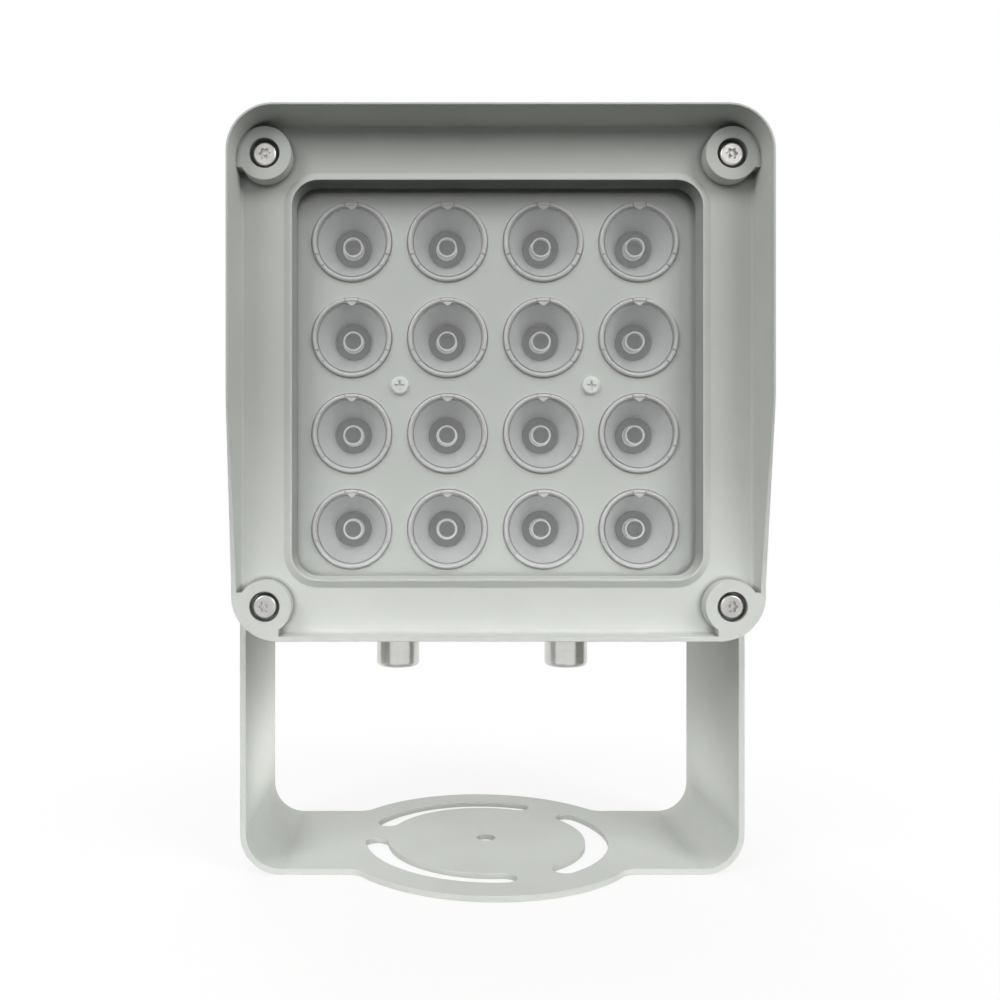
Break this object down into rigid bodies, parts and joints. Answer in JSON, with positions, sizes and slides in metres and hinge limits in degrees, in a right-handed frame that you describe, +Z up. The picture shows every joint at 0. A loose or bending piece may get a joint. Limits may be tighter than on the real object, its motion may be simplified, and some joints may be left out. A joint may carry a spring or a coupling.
{
  "type": "infrared illuminator",
  "caption": "Square cast infrared floodlight with hood, lens array behind flat glass and cable glands, tilting in a bent sheet bracket with a round slotted foot.",
  "frame": {"origin": "middle of the round foot's centre hole, on the underside that rests on the surface", "axes": "+Z up through the centre hole, +X to the right seen from the front along the tilt axis, the light leaves towards -Y"},
  "size_m": [0.231, 0.1567, 0.3127],
  "materials": {
    "bracket_paint": "satin powder coat, light grey",
    "casting_paint": "satin powder coat, light grey",
    "rubber": "matte black silicone rubber",
    "front_glass": "clear flat toughened glass",
    "plate_plastic": "matte light grey moulding",
    "board_mask": "dark solder mask on an aluminium core",
    "led_package": "black square package with a shallow well",
    "thermal_pad": "matte grey filled silicone",
    "board_green": "green solder mask",
    "driver_parts": "dark sleeves and varnish",
    "terminal_plastic": "green polyamide",
    "connector_plastic": "natural nylon",
    "stainless": "turned stainless steel",
    "white_screw": "white lacquer",
    "nylon": "natural nylon",
    "gland_metal": "bright nickel plate on brass",
    "holder_plastic": "satin grey moulding",
    "lens_acrylic": "clear polished acrylic"
  },
  "bodies": {
    "bracket": {"bracket": "bracket_paint"},
    "head": {"board_connector": "connector_plastic", "cover_gasket": "rubber", "cover_screws": "stainless", "driver_board": "board_green", "driver_parts": "driver_parts", "frame_screws": "stainless", "front_frame": "casting_paint", "front_glass": "front_glass", "gland_body_left": "gland_metal", "gland_body_right": "gland_metal", "gland_nut_left": "gland_metal", "gland_nut_right": "gland_metal", "gland_seal_left": "rubber", "gland_seal_right": "rubber", "glass_seal": "rubber", "housing_gasket": "rubber", "led_board": "board_mask", "leds": "led_package", "lens_11": "lens_acrylic", "lens_12": "lens_acrylic", "lens_13": "lens_acrylic", "lens_14": "lens_acrylic", "lens_21": "lens_acrylic", "lens_22": "lens_acrylic", "lens_23": "lens_acrylic", "lens_24": "lens_acrylic", "lens_31": "lens_acrylic", "lens_32": "lens_acrylic", "lens_33": "lens_acrylic", "lens_34": "lens_acrylic", "lens_41": "lens_acrylic", "lens_42": "lens_acrylic", "lens_43": "lens_acrylic", "lens_44": "lens_acrylic", "lens_holder_11": "holder_plastic", "lens_holder_12": "holder_plastic", "lens_holder_13": "holder_plastic", "lens_holder_14": "holder_plastic", "lens_holder_21": "holder_plastic", "lens_holder_22": "holder_plastic", "lens_holder_23": "holder_plastic", "lens_holder_24": "holder_plastic", "lens_holder_31": "holder_plastic", "lens_holder_32": "holder_plastic", "lens_holder_33": "holder_plastic", "lens_holder_34": "holder_plastic", "lens_holder_41": "holder_plastic", "lens_holder_42": "holder_plastic", "lens_holder_43": "holder_plastic", "lens_holder_44": "holder_plastic", "lens_plate": "plate_plastic", "lock_screws": "stainless", "pivot_bolts": "stainless", "plate_screws": "white_screw", "rear_cover": "casting_paint", "rear_housing": "casting_paint", "terminal_block": "terminal_plastic", "thermal_pad": "thermal_pad", "tilt_pads": "nylon"}
  },
  "joints": [
    {"name": "head_tilt", "type": "hinge", "parent": "bracket", "child": "head", "pos_m": [0, 0, 0.2086], "axis": [1, 0, 0], "range_deg": [-60, 60]}
  ]
}
